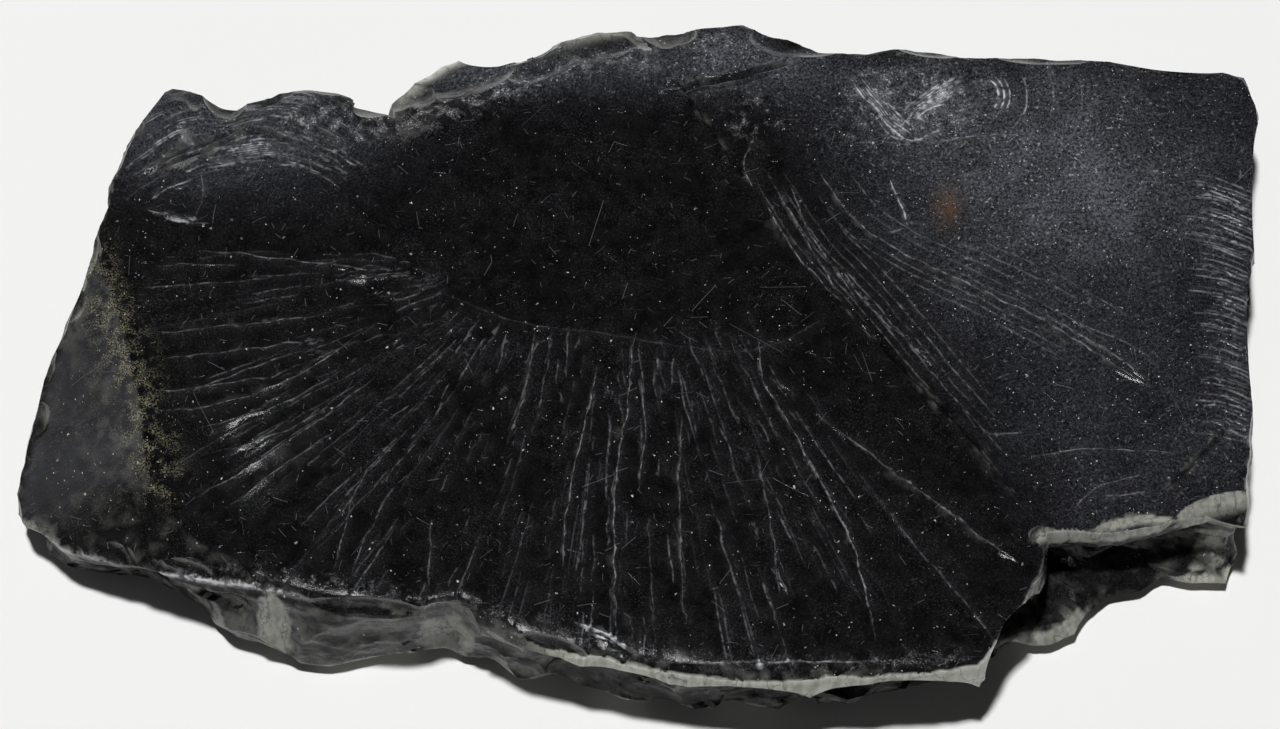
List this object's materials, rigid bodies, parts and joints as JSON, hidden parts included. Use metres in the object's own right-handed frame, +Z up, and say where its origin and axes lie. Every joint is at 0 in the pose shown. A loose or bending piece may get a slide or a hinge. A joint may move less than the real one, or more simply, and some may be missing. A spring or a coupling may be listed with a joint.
{
  "type": "shungite specimen",
  "caption": "Hand specimen of lustrous black shungite: a flat slab with a shell-shaped fracture face and a chipped rim.",
  "frame": {"origin": "centre of the footprint, at the level of the flat resting patch under the stone", "axes": "+X along the stone's longest side, +Y across the fracture face, +Z up out of the fracture face"},
  "size_m": [0.0914, 0.0518, 0.0108],
  "materials": {
    "shungite": "glossy black, vitreous fracture"
  },
  "bodies": {
    "root": {"shungite": "shungite"}
  },
  "joints": []
}
